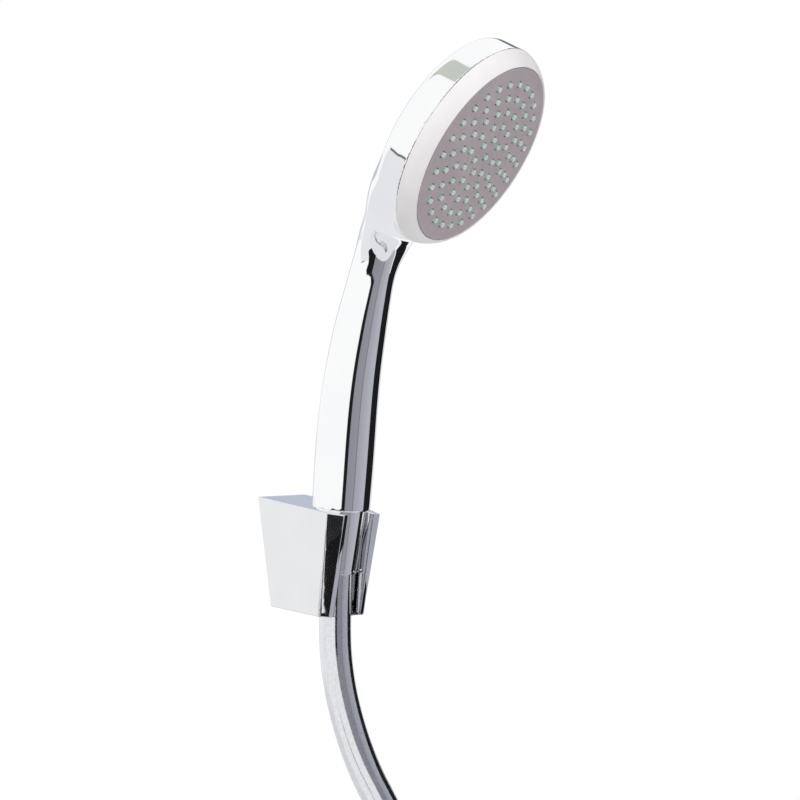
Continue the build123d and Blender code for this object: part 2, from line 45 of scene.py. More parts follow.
# Frames of the seat, the turned handset and the head, in millimetres
seat_lean = radians(14.5)
seat_origin = np.array((0.0, -34.9, 0.0))
seat_up = np.array((0.0, -sin(seat_lean), cos(seat_lean)))
seat_back = np.array((0.0, cos(seat_lean), sin(seat_lean)))
hand_turn = radians(15.0)
hand_x = cos(hand_turn) * np.array((1.0, 0, 0)) + sin(hand_turn) * seat_back
hand_y = -sin(hand_turn) * np.array((1.0, 0, 0)) + cos(hand_turn) * seat_back
hand_axes = np.array((hand_x, hand_y, seat_up))
head_tilt = radians(25.2)
head_centre = np.array((0.0, -53.1, 187.8))
head_up = (0, -sin(head_tilt), cos(head_tilt))
head_axes = np.array((head_up, (1, 0, 0), (0, cos(head_tilt), sin(head_tilt))))
head_back = head_axes[2]

# Level directions from the part to the camera and to the camera's right
to_camera = (-0.71749, -0.69658, 0)
to_right = (0.69658, -0.71749, 0)


def from_hand(points):
    """Millimetres in the handset's frame to metres in the row frame."""
    return (seat_origin + np.asarray(points) @ hand_axes) * mm


def from_head(points):
    """Millimetres in the head's frame to metres in the row frame."""
    return from_hand(head_centre + np.asarray(points) @ head_axes)


# Camera
def make_camera():
    place = (-0.9795, -1.0356, -0.0616)
    data = bpy.data.cameras.new("camera")
    data.lens = 135
    data.sensor_width = 36
    data.clip_start = 0.05
    camera = bpy.data.objects.new("camera", data)
    right = Vector((0.69936, -0.70650, -0.10840))
    up = Vector((0.01254, -0.13950, 0.99014))
    back = Vector((-0.71466, -0.69383, -0.08870))
    turn = Matrix((right, up, back)).transposed().to_4x4()
    camera.matrix_world = Matrix.Translation(place) @ turn
    scene.collection.objects.link(camera)
    scene.camera = camera


make_camera()


# Materials
def new_material(name):
    material = bpy.data.materials.new(name)
    material.use_nodes = True
    tree = material.node_tree
    shader = tree.nodes["Principled BSDF"]
    place = tree.nodes.new("ShaderNodeTexCoord")
    return material, tree, shader, place.outputs["Object"]


def noise(tree, place, scale, detail=3.0, stretch=None):
    """Noise at a scale in metres, stretched by a vector if given."""
    if stretch is not None:
        mapping = tree.nodes.new("ShaderNodeMapping")
        mapping.inputs["Scale"].default_value = stretch
        tree.links.new(place, mapping.inputs["Vector"])
        place = mapping.outputs["Vector"]
    node = tree.nodes.new("ShaderNodeTexNoise")
    node.inputs["Scale"].default_value = 1 / scale
    node.inputs["Detail"].default_value = detail
    tree.links.new(place, node.inputs["Vector"])
    return node.outputs["Fac"]


def spread(tree, value, low, high, start=0.3, stop=0.7):
    """A value between start and stop mapped on a range."""
    node = tree.nodes.new("ShaderNodeMapRange")
    node.inputs["From Min"].default_value = start
    node.inputs["From Max"].default_value = stop
    node.inputs["To Min"].default_value = low
    node.inputs["To Max"].default_value = high
    tree.links.new(value, node.inputs["Value"])
    return node.outputs["Result"]


def blend_colour(tree, value, low, high):
    """Two colours mixed by a value."""
    node = tree.nodes.new("ShaderNodeValToRGB")
    node.color_ramp.elements[0].position = 0.3
    node.color_ramp.elements[0].color = (*low, 1)
    node.color_ramp.elements[1].position = 0.7
    node.color_ramp.elements[1].color = (*high, 1)
    tree.links.new(value, node.inputs["Fac"])
    return node.outputs["Color"]


def bump(tree, shader, value, depth, strength=1.0):
    """Relief of a depth in metres."""
    node = tree.nodes.new("ShaderNodeBump")
    node.inputs["Strength"].default_value = strength
    node.inputs["Distance"].default_value = depth
    tree.links.new(value, node.inputs["Height"])
    tree.links.new(node.outputs["Normal"], shader.inputs["Normal"])


def plain(name, low, high, rough, metal=0.0, grain=0.0006, depth=0.000006, patch=0.012,
          specular=0.5):
    """Colour and roughness that drift in patches, and a fine grain."""
    material, tree, shader, place = new_material(name)
    drift = noise(tree, place, patch)
    tree.links.new(blend_colour(tree, drift, low, high), shader.inputs["Base Color"])
    tree.links.new(spread(tree, drift, *rough), shader.inputs["Roughness"])
    shader.inputs["Metallic"].default_value = metal
    shader.inputs["Specular IOR Level"].default_value = specular
    bump(tree, shader, noise(tree, place, grain, 2.0), depth)
    return material


def make_chrome(name, low, high):
    """Polished plating: a faint cloud in the gloss and the slow wave of a moulded wall."""
    material, tree, shader, place = new_material(name)
    cloud = noise(tree, place, 0.02)
    tree.links.new(blend_colour(tree, cloud, low, high), shader.inputs["Base Color"])
    tree.links.new(spread(tree, cloud, 0.035, 0.06), shader.inputs["Roughness"])
    shader.inputs["Metallic"].default_value = 1.0
    bump(tree, shader, noise(tree, place, 0.018, 1.0), 0.00001)
    return material


def make_hose_material():
    """Silver foil with a fine crinkle under a smooth clear coat."""
    material, tree, shader, place = new_material("silver_hose")
    crinkle = noise(tree, place, 0.0016, 2.0)
    tree.links.new(blend_colour(tree, crinkle, (0.70, 0.71, 0.74), (0.80, 0.81, 0.83)),
                   shader.inputs["Base Color"])
    tree.links.new(spread(tree, crinkle, 0.10, 0.16), shader.inputs["Roughness"])
    shader.inputs["Metallic"].default_value = 1.0
    shader.inputs["Coat Weight"].default_value = 0.5
    shader.inputs["Coat Roughness"].default_value = 0.04
    bump(tree, shader, crinkle, 0.000035, 0.6)
    return material


chrome = make_chrome("chrome", (0.93, 0.935, 0.945), (0.96, 0.963, 0.97))
block_chrome = make_chrome("block_chrome", (0.79, 0.795, 0.815), (0.82, 0.825, 0.84))
silver = make_hose_material()
white = plain("white_plastic", (0.80, 0.785, 0.785), (0.83, 0.815, 0.81), (0.34, 0.42),
              specular=0.35)
grey = plain("grey_plastic", (0.385, 0.340, 0.368), (0.415, 0.368, 0.396), (0.42, 0.52),
             grain=0.0005, depth=0.00001, specular=0.3)
mint = plain("mint_silicone", (0.60, 0.74, 0.66), (0.66, 0.79, 0.71), (0.40, 0.50),
             specular=0.35)
inner = plain("inner_plastic", (0.70, 0.70, 0.68), (0.76, 0.76, 0.74), (0.40, 0.50))
steel = plain("steel", (0.52, 0.52, 0.53), (0.62, 0.62, 0.63), (0.26, 0.36), metal=1.0)
rubber = plain("black_rubber", (0.018, 0.018, 0.018), (0.03, 0.03, 0.03), (0.55, 0.7),
               depth=0.00002)
brass = plain("brass", (0.62, 0.45, 0.19), (0.72, 0.54, 0.25), (0.22, 0.32), metal=1.0)
tie = plain("tie_plastic", (0.03, 0.03, 0.03), (0.05, 0.05, 0.05), (0.38, 0.48))


def dress(material, *names):
    """Give CAD pieces a material."""
    for name in names:
        mesh = nodes[name].data
        mesh.materials.clear()
        mesh.materials.append(material)


# Mesh helpers
def add_piece(name, mesh, body, slot, material, *replaced):
    """A piece that rides on a body and stands for CAD pieces."""
    piece = bpy.data.objects.new(name, mesh)
    scene.collection.objects.link(piece)
    mesh.materials.clear()
    mesh.materials.append(material)
    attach(piece, body)
    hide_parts(*replaced)
    return piece


def mesh_from(name, points, faces, sharp=None):
    """A smooth mesh, with edges sharp from an angle in degrees if given."""
    mesh = bpy.data.meshes.new(name)
    mesh.from_pydata([tuple(p) for p in points], [], [tuple(int(i) for i in f) for f in faces])
    mesh.update()
    for polygon in mesh.polygons:
        polygon.use_smooth = True
    if sharp is not None:
        mesh.set_sharp_from_angle(angle=radians(sharp))
    return mesh


def rounded(profile, radii, steps=5):
    """A closed profile with its corners rounded."""
    points = []
    count = len(profile)
    for i, corner in enumerate(profile):
        radius = radii.get(i, 0)
        here = np.array(corner, float)
        if not radius:
            points.append(here)
            continue
        one = np.array(profile[i - 1], float) - here
        two = np.array(profile[(i + 1) % count], float) - here
        one /= np.linalg.norm(one)
        two /= np.linalg.norm(two)
        half = np.arccos(np.clip(one @ two, -1, 1)) / 2
        centre = here + (one + two) / np.linalg.norm(one + two) * radius / np.sin(half)
        first = here + one * radius / np.tan(half) - centre
        last = here + two * radius / np.tan(half) - centre
        for step in np.linspace(0, 1, steps + 1):
            way = first * (1 - step) + last * step
            points.append(centre + way / np.linalg.norm(way) * radius)
    return points


def lathe(name, profile, to_world, segments=160, sharp=32):
    """A closed profile of radius and height turned about Z."""
    profile = np.array(profile)
    angles = np.linspace(0, 2 * pi, segments, endpoint=False)
    count = len(profile)
    points = np.stack([np.outer(np.cos(angles), profile[:, 0]),
                       np.outer(np.sin(angles), profile[:, 0]),
                       np.tile(profile[:, 1], (segments, 1))], axis=2).reshape(-1, 3)
    faces = []
    for i in range(segments):
        j = (i + 1) % segments
        for a in range(count):
            b = (a + 1) % count
            faces.append((i * count + a, j * count + a, j * count + b, i * count + b))
    return mesh_from(name, to_world(points), faces, sharp)


# Hose: its size in metres, and the coil's in millimetres
hose_radius = 0.0075
hose_bore = 0.00425
hose_step = 0.0016
coil_radius = 75.2
coil_y, coil_z = -68.5, -232
coil_pitch = 16
coil_end = 720
tail_start = 540
tail_shift = 12
tail_end = (44, -68.5, -289)


def hose_controls():
    """The route's points, then the coil's, in millimetres."""
    points = [(0, -35.94, 4.02), (0, -27.68, -27.93), (0, -23.8, -63), (0, -32.5, -101),
              (0, -50, -131), (0, -63, -163), (0, coil_y, -198), (0, coil_y, coil_z)]
    half_step = 15
    control_radius = coil_radius / cos(radians(half_step))
    for index in range(25):
        turn = half_step + 2 * half_step * index
        tail = min(max(0, (turn - tail_start) / (coil_end - tail_start)), 1)
        side = coil_pitch * min(turn, coil_end) / 360 + tail_shift * tail
        points.append((side, coil_y - coil_radius + control_radius * cos(radians(turn)),
                       coil_z - control_radius * sin(radians(turn))))
    points.append(tail_end)
    return points


def spline_line(points):
    """Points along a smooth spline over the route, close together, in metres."""
    curve = bpy.data.curves.new("hose_line", "CURVE")
    curve.dimensions = "3D"
    curve.resolution_u = 40
    spline = curve.splines.new("NURBS")
    spline.points.add(len(points) - 1)
    for point, place in zip(spline.points, points):
        point.co = (place[0] * mm, place[1] * mm, place[2] * mm, 1)
    spline.order_u = 3
    spline.use_endpoint_u = True
    holder = bpy.data.objects.new("hose_line", curve)
    mesh = bpy.data.meshes.new_from_object(holder)
    line = np.array([v.co[:] for v in mesh.vertices])
    bpy.data.objects.remove(holder)
    bpy.data.meshes.remove(mesh)
    bpy.data.curves.remove(curve)
    return line


def even_line(line, step):
    """The same line with even steps."""
    along = np.concatenate(([0], np.cumsum(np.linalg.norm(np.diff(line, axis=0), axis=1))))
    places = np.linspace(0, along[-1], int(along[-1] / step) + 1)
    return np.stack([np.interp(places, along, line[:, i]) for i in range(3)], axis=1), along[-1]


def tube_mesh(name, line, radius, bore, sides):
    """A tube with a bore along a line."""
    count = len(line)
    ahead = np.gradient(line, axis=0)
    ahead /= np.linalg.norm(ahead, axis=1)[:, None]
    side = np.empty_like(line)
    side[0] = np.cross(ahead[0], (1, 0, 0))
    for i in range(1, count):
        side[i] = side[i - 1] - ahead[i] * (side[i - 1] @ ahead[i])
        side[i] /= np.linalg.norm(side[i])
    other = np.cross(ahead, side)
    angles = np.linspace(0, 2 * pi, sides, endpoint=False)
    ring = (np.cos(angles)[None, :, None] * side[:, None]
            + np.sin(angles)[None, :, None] * other[:, None])
    points = np.concatenate([(line[:, None] + ring * size).reshape(-1, 3)
                             for size in (radius, bore)])
    faces = []
    shift = count * sides
    for i in range(count - 1):
        for a in range(sides):
            b = (a + 1) % sides
            outer = (i * sides + a, i * sides + b, (i + 1) * sides + b, (i + 1) * sides + a)
            faces.append(outer)
            faces.append(tuple(shift + v for v in reversed(outer)))
    last = (count - 1) * sides
    for a in range(sides):
        b = (a + 1) % sides
        faces.append((b, a, shift + a, shift + b))
        faces.append((last + a, last + b, shift + last + b, shift + last + a))
    return mesh_from(name, points, faces, 40)


def make_hose():
    line, length = even_line(spline_line(hose_controls()), hose_step)
    mesh = tube_mesh("hose_tube", line, hose_radius, hose_bore, 40)
    piece = add_piece("hose_tube", mesh, "hose_line", "silver_hose", silver, "hose", "hose_coil")


make_hose()


# Chromed body, in millimetres: a tube, a band, a dome and a flat web with smooth blends
head_radius = 50
band_height = 11.8
band_fall = 0.9 / band_height
dome_height = 22.5
dome_square = 0.002605
dome_fourth = 5.04e-7
handle_low = 15.9
handle_bow = 398
neck_start = 145
neck_share = 0.95
neck_blend = 11.0
web_low, web_high = -56, -8
web_depths = (18.1, 13.1, 8.4)
web_radii = (5.0, 12.2, 11.6)
web_widths = (18.0, 30.4, 37.8, 36.3)
web_blend = 9.0
front_blend = 2
fade_depth = 12
rim_blend = 0.7
face_seam = 0.03
handle_seam = 16.23
half_way = 100
wall = 2.3


def cubic_table(knots, step):
    """A smooth curve through rows of values, sampled at even steps of its length."""
    knots = np.array(knots, float)
    gaps = np.linalg.norm(np.diff(knots[:, :2], axis=0), axis=1)
    along = np.concatenate(([0], np.cumsum(gaps)))
    count = len(knots)
    matrix = np.eye(count)
    right = np.zeros_like(knots)
    for i in range(1, count - 1):
        matrix[i, i - 1:i + 2] = gaps[i - 1], 2 * (gaps[i - 1] + gaps[i]), gaps[i]
        right[i] = 6 * ((knots[i + 1] - knots[i]) / gaps[i]
                        - (knots[i] - knots[i - 1]) / gaps[i - 1])
    bend = np.linalg.solve(matrix, right)
    places = np.linspace(0, along[-1], int(along[-1] / step) + 1)
    part = np.clip(np.searchsorted(along, places, side="right") - 1, 0, count - 2)
    gap = gaps[part][:, None]
    up = ((places - along[part]) / gaps[part])[:, None]
    down = 1 - up
    return (down * knots[part] + up * knots[part + 1]
            + ((down ** 3 - down) * bend[part] + (up ** 3 - up) * bend[part + 1]) * gap ** 2 / 6)


def handle_knots():
    """Rows of y, z and radius along the handle's middle line."""
    rows = [(0, 4.0, 13.5), (0, 16.2, 13.65), (0, 38.0, 13.95)]
    for turn, radius in ((3.0, 13.5), (6.5, 12.6), (10.0, 11.5), (12.0, 11.0)):
        rows.append((handle_bow * (cos(radians(turn)) - 1), 47 + handle_bow * sin(radians(turn)),
                     radius))
    for height, forward, radius in ((141, 12.6, 11.8), (150, 15.9, 13.25), (159, 19.1, 15.35),
                                    (168, 22.6, 17.2), (177, 27.2, 15.6), (185, 32.6, 11.6),
                                    (190, 36.6, 7.5)):
        rows.append((-forward, height, radius if height < neck_start else radius * neck_share))
    return rows


handle_values = cubic_table(handle_knots(), 0.25)
handle_line = handle_values[:, :2]
handle_steps = np.linalg.norm(np.diff(handle_line, axis=0), axis=1)
handle_reach = np.concatenate(([0], np.cumsum(handle_steps)))
handle_ahead = np.gradient(handle_line, handle_reach, axis=0)
handle_swell = np.gradient(handle_values[:, 2], handle_reach)


def table(place, values):
    """The handle's values at places along its line."""
    return np.interp(place, handle_reach, values)


def ease(value, start, stop):
    """A share that goes smoothly from 0 at start to 1 at stop."""
    share = np.clip((value - start) / (stop - start), 0, 1)
    return share * share * (3 - 2 * share)


def smooth_min(one, two, reach):
    """The smaller of two fields, rounded where they meet."""
    near = np.maximum(1 - np.abs(one - two) / (1.5 * reach), 0)
    return np.minimum(one, two) - 0.25 * reach * near ** 3


def smooth_max(one, two, reach):
    """The larger of two fields, rounded where they meet."""
    return -smooth_min(-one, -two, reach)


def tube_field(points):
    """The handle and neck as a tube of changing radius."""
    place = np.interp(points[:, 2], handle_line[:, 1], handle_reach)
    for _ in range(5):
        off_y = points[:, 1] - table(place, handle_line[:, 0])
        off_z = points[:, 2] - table(place, handle_line[:, 1])
        step = (off_y * table(place, handle_ahead[:, 0])
                + off_z * table(place, handle_ahead[:, 1]))
        place = np.clip(place + step, 0, handle_reach[-1])
    off_y = points[:, 1] - table(place, handle_line[:, 0])
    off_z = points[:, 2] - table(place, handle_line[:, 1])
    far = np.sqrt(points[:, 0] ** 2 + off_y ** 2 + off_z ** 2)
    return (far - table(place, handle_values[:, 2])) / np.sqrt(1 + table(place, handle_swell) ** 2)


web_places = np.arange(-60, -3.9, 0.1)


def eased(knots, values):
    """A table through the knots with its corners rounded off."""
    width, sigma = 120, 40
    weights = np.exp(-0.5 * (np.arange(-width, width + 1) / sigma) ** 2)
    places = np.pad(web_places, width, mode="reflect", reflect_type="odd")
    padded = np.interp(places, knots, values)
    return np.convolve(padded, weights / weights.sum(), mode="valid")


web_depth = eased((web_low, -32, web_high), web_depths)
web_radius = eased((web_low, -32, web_high), web_radii)
web_width = eased((web_low, -42, -26, web_high), web_widths)


def web_field(points, up, deep):
    """The flat fill at both sides of the neck, wider towards the head."""
    place = np.clip(up, web_low, web_high)
    centre = np.interp(place, web_places, web_depth)
    radius = np.interp(place, web_places, web_radius)
    wide = np.interp(place, web_places, web_width)
    side = points[:, 0] * radius / wide
    return np.sqrt(side ** 2 + (deep - centre) ** 2 + (up - place) ** 2) - radius


def body_field(points, corner=2.2):
    """The body's outside as a field that is zero on it."""
    off = points - head_centre
    up = off @ head_axes[0]
    deep = off @ head_back
    out = np.sqrt(points[:, 0] ** 2 + up ** 2)
    band = out - head_radius + band_fall * deep
    fall = 2 * dome_square * out + 4 * dome_fourth * out ** 3
    dome = deep - dome_height + dome_square * out ** 2 + dome_fourth * out ** 4
    head = smooth_max(band, dome / np.sqrt(1 + fall ** 2), corner)
    fade = ease(deep, 0, fade_depth)
    value = smooth_min(head, tube_field(points), front_blend + (neck_blend - front_blend) * fade)
    value = smooth_min(value, web_field(points, up, deep),
                       front_blend + (web_blend - front_blend) * fade)
    # The blends keep to the head's outline, but for the neck below and in the middle
    low = np.maximum(-up - 14, 0)
    inward = np.maximum(42 - np.abs(points[:, 0]), 0)
    leave = 0.0035 * low ** 2 + 0.0005 * low ** 3 + 0.05 * inward ** 2
    value = smooth_max(value, head - leave, 0.4)
    # The head's front is cut flat, which lets go of the handle farther out
    front = -0.3 - deep - 0.02 * np.maximum(out - 53, 0) ** 2
    value = smooth_max(value, front, rim_blend)
    return smooth_max(value, handle_low - points[:, 2], rim_blend)


def body_slope(points, **shape):
    """The field's slope, by differences."""
    step = 0.02
    return np.stack([(body_field(points + step * axis, **shape)
                      - body_field(points - step * axis, **shape)) / (2 * step)
                     for axis in np.eye(3)], axis=1)


def remeshed(mesh, size):
    """A closed mesh made anew with small even faces."""
    holder = bpy.data.objects.new("blank", mesh)
    scene.collection.objects.link(holder)
    remesh = holder.modifiers.new("remesh", "REMESH")
    remesh.mode = "VOXEL"
    remesh.voxel_size = size
    depsgraph = bpy.context.evaluated_depsgraph_get()
    even = bpy.data.meshes.new_from_object(holder.evaluated_get(depsgraph))
    bpy.data.objects.remove(holder)
    bpy.data.meshes.remove(mesh)
    return even


def stacked(rings):
    """Faces of a closed skin over rings of points."""
    count = len(rings[0])
    faces = []
    for i in range(len(rings) - 1):
        for a in range(count):
            b = (a + 1) % count
            faces.append((i * count + a, i * count + b, (i + 1) * count + b, (i + 1) * count + a))
    faces.append(tuple(reversed(range(count))))
    faces.append(tuple((len(rings) - 1) * count + a for a in range(count)))
    return faces


def body_blank():
    """Head, handle and web as one closed mesh of small even faces, in millimetres."""
    sides = 96
    angles = np.linspace(0, 2 * pi, sides, endpoint=False)
    turns = np.stack([np.cos(angles), np.sin(angles)], axis=1)
    profile = [(head_radius, -1.6), (49.6, 6), (49.1, band_height)]
    profile += [(r, dome_height - dome_square * r ** 2 - dome_fourth * r ** 4)
                for r in np.linspace(48, 1, 24)]
    head = [head_centre + np.column_stack([turns * r, np.full(sides, h)]) @ head_axes
            for r, h in profile]
    tube = []
    for (y, z, radius), (ahead_y, ahead_z) in zip(handle_values[40::16], handle_ahead[40::16]):
        up = radius * turns[:, 1]
        tube.append(np.stack([radius * turns[:, 0], y + up * ahead_z, z - up * ahead_y], axis=1))
    web = []
    for up in np.linspace(web_low - 2, web_high, 14):
        place = max(up, web_low)
        wide = np.interp(place, web_places, web_width)
        deep = np.interp(place, web_places, web_depth)
        thick = np.interp(place, web_places, web_radius)
        ring = np.column_stack([np.full(sides, up), wide * turns[:, 0], deep + thick * turns[:, 1]])
        web.append(head_centre + ring @ head_axes)
    points, faces = [], []
    for rings in (head, tube, web):
        shift = len(points)
        faces += [tuple(shift + v for v in face) for face in stacked(rings)]
        points += [tuple(p) for ring in rings for p in ring]
    mesh = mesh_from("blank", points, faces)
    bm = bmesh.new()
    bm.from_mesh(mesh)
    bmesh.ops.recalc_face_normals(bm, faces=bm.faces)
    bm.to_mesh(mesh)
    bm.free()
    return remeshed(mesh, 1.0)


def mesh_points(mesh):
    """A mesh's points as an array."""
    points = np.empty(len(mesh.vertices) * 3)
    mesh.vertices.foreach_get("co", points)
    return points.reshape(-1, 3)


def settle(points, rounds, level=0.0, **shape):
    """Points moved along the field's slope onto one of its levels."""
    for _ in range(rounds):
        slope = body_slope(points, **shape)
        step = (body_field(points, **shape) - level) / np.maximum((slope ** 2).sum(axis=1), 0.05)
        points = points - slope * np.clip(step, -1.5, 1.5)[:, None]
    return points


def cut_open(bm, origin, normal, keep):
    """Cut the faces that a test keeps by a plane and drop what lies beyond it."""
    faces = [f for f in bm.faces if keep(f.calc_center_median())]
    edges = {e for f in faces for e in f.edges}
    verts = {v for f in faces for v in f.verts}
    bmesh.ops.bisect_plane(bm, geom=[*verts, *edges, *faces], plane_co=origin, plane_no=normal,
                           clear_outer=True)


def neck_share_of(points):
    """How far a point belongs to the neck, where the skin is evened out."""
    off = points - head_centre
    up, deep = off @ head_axes[0], off @ head_back
    out = np.sqrt(points[:, 0] ** 2 + up ** 2)
    clear = np.maximum(ease(deep, 2.0, 5.5), ease(out, 51.5, 54))
    return ease(up, -20, -32) * ease(up, -105, -85) * clear


def evened(values, pairs, share, rounds):
    """Values drawn towards the mean of their neighbours by a share."""
    count = np.maximum(np.bincount(pairs[:, 0], minlength=len(values)), 1)
    for _ in range(rounds):
        mean = np.stack([np.bincount(pairs[:, 0], values[pairs[:, 1], i], len(values))
                         for i in range(3)], axis=1)
        values = values + 0.6 * share[:, None] * (mean / count[:, None] - values)
    return values


def skin_normals(points, faces):
    """Normals of a skin's points from its faces."""
    corners = np.array([(f[0], f[i], f[i + 1]) for f in faces for i in range(1, len(f) - 1)])
    a, b, c = points[corners[:, 0]], points[corners[:, 1]], points[corners[:, 2]]
    flat = np.cross(b - a, c - a)
    total = np.zeros_like(points)
    for column in range(3):
        for i in range(3):
            total[:, i] += np.bincount(corners[:, column], flat[:, i], len(points))
    return total / np.linalg.norm(total, axis=1)[:, None]


def make_body():
    """The chromed body: an outside settled on the field, its neck evened out, and an inner wall."""
    even = body_blank()
    even.vertices.foreach_set("co", settle(mesh_points(even), 5).ravel())
    even = remeshed(even, 0.9)
    even.vertices.foreach_set("co", settle(mesh_points(even), 5).ravel())
    bm = bmesh.new()
    bm.from_mesh(even)
    back = Vector(head_back)
    centre = Vector(head_centre)

    def at_face(point):
        off = point - centre
        return (off - back * back.dot(off)).length < 51.6 and back.dot(off) < 3

    cut_open(bm, centre + back * face_seam, -back, at_face)
    cut_open(bm, Vector((0, 0, handle_seam)), Vector((0, 0, -1)), lambda p: p.z < 19)
    bmesh.ops.remove_doubles(bm, verts=bm.verts, dist=0.02)
    bmesh.ops.delete(bm, geom=[v for v in bm.verts if not v.link_faces], context="VERTS")
    bm.verts.index_update()
    outside = np.array([v.co[:] for v in bm.verts])
    rim = np.array([v.is_boundary for v in bm.verts])
    faces = [[v.index for v in f.verts] for f in bm.faces]
    edges = [(loop.vert.index, loop.link_loop_next.vert.index)
             for f in bm.faces for loop in f.loops if loop.edge.is_boundary]
    bm.free()
    bpy.data.meshes.remove(even)
    pairs = np.array([(f[i], f[i - 1]) for f in faces for i in range(len(f))])
    pairs = np.unique(np.concatenate([pairs, pairs[:, ::-1]]), axis=0)
    share = neck_share_of(outside) * ~rim
    slope = body_slope(outside)
    slope /= np.linalg.norm(slope, axis=1)[:, None]
    outside = evened(outside, pairs, share, 60)
    slope += (skin_normals(outside, faces) - slope) * share[:, None]
    slope = evened(slope, pairs, share, 20) @ hand_axes
    slope /= np.linalg.norm(slope, axis=1)[:, None]
    inside = outside.copy()
    for level in np.linspace(-0.3, -wall, 8):
        moved = settle(inside, 2, level, corner=7.0)
        held = moved[rim] - inside[rim]
        head_end = outside[rim][:, 2] > half_way
        planes = np.where(head_end[:, None], head_back, np.array((0.0, 0.0, 1.0)))
        held -= planes * (held * planes).sum(axis=1)[:, None]
        moved[rim] = inside[rim] + held
        inside = moved
    shift = len(outside)
    all_faces = faces + [[shift + v for v in reversed(f)] for f in faces]
    all_faces += [(b, a, shift + a, shift + b) for a, b in edges]
    mesh = mesh_from("body_chrome", from_hand(np.concatenate([outside, inside])), all_faces)
    normals = []
    for polygon in mesh.polygons:
        if polygon.index < len(faces):
            normals += [tuple(slope[v]) for v in polygon.vertices]
        elif polygon.index < 2 * len(faces):
            normals += [tuple(-slope[v - shift]) for v in polygon.vertices]
        else:
            normals += [tuple(polygon.normal)] * len(polygon.vertices)
    mesh.normals_split_custom_set(normals)
    piece = add_piece("body_chrome", mesh, "handset", "chrome", chrome, "body_shell")
    piece.visible_glossy = False


make_body()


# Conical nut
def make_nut():
    low, high = -14.1, 15.9
    slope = 2.7 / 30
    groove = low + 1.3
    groove_wide, groove_deep = 0.5, 0.35
    at_groove = 9.3 + slope * 1.3
    profile = [(7.8, low), (9.3, low), (at_groove, groove), (at_groove - groove_deep, groove),
               (at_groove - groove_deep, groove + groove_wide),
               (at_groove + slope * groove_wide, groove + groove_wide), (12.0, high),
               (10.45, high), (10.45, 8.2), (9.7, 8.2), (9.7, 4.1), (7.8, 4.1)]
    shape = rounded(profile, {0: 0.3, 1: 0.35, 2: 0.12, 5: 0.15, 6: 0.4, 7: 0.2})
    mesh = lathe("nut_chrome", shape, from_hand)
    add_piece("nut_chrome", mesh, "handset", "chrome", chrome, "cone_nut")


make_nut()


# Bracket: the block with the edges of its top and bottom broken, away from the wall
def make_bracket():
    edge_break = 0.00045
    wall_side = -0.012
    sharp = radians(32)
    mesh = nodes["bracket_body"].data.copy()
    bm = bmesh.new()
    bm.from_mesh(mesh)
    bmesh.ops.remove_doubles(bm, verts=bm.verts, dist=2e-6)
    bmesh.ops.dissolve_limit(bm, angle_limit=radians(1.2), verts=bm.verts, edges=bm.edges)
    bm.normal_update()
    ends = [max((f for f in bm.faces if f.normal.z * way > 0.85), key=lambda f: f.calc_area())
            for way in (1, -1)]
    edges = [e for f in ends for e in f.edges if min(v.co.y for v in e.verts) < wall_side]
    bmesh.ops.bevel(bm, geom=edges, offset=edge_break, offset_type="OFFSET", segments=4,
                    profile=0.5, affect="EDGES", clamp_overlap=False)
    bmesh.ops.triangulate(bm, faces=[f for f in bm.faces if len(f.verts) > 4])
    for face in bm.faces:
        face.smooth = True
    bm.to_mesh(mesh)
    bm.free()
    mesh.name = "bracket_chrome"
    piece = add_piece("bracket_chrome", mesh, "bracket", "chrome", block_chrome, "bracket_body")
    mesh.set_sharp_from_angle(angle=sharp)
    weighted = piece.modifiers.new("weighted", "WEIGHTED_NORMAL")
    weighted.keep_sharp = True
    weighted.weight = 100


make_bracket()


# Nozzles: a mat with round tapered nozzles, each with its jet
face_radius = 41.8
face_depth = -7.5
mat_radius = 45.4
nozzle_length = 1.2
outer_ring = 36.2
ring_gap = 6.84
nozzle_rings = ((27, 2.0), (22, 9.1), (17, 2.3), (12, 9.1), (7, 1.7))


def crown_depth(radius):
    """Depth of the crowned face at a radius."""
    return face_depth - (face_radius ** 2 - radius ** 2) / 800


def nozzle_places():
    """The middle nozzle and the rings, by count and phase in degrees."""
    places = [(0.0, 0.0)]
    for ring, (count, phase) in enumerate(nozzle_rings):
        radius = outer_ring - ring_gap * ring
        for index in range(count):
            angle = radians(phase) + 2 * pi * index / count
            places.append((radius * cos(angle), radius * sin(angle)))
    return places


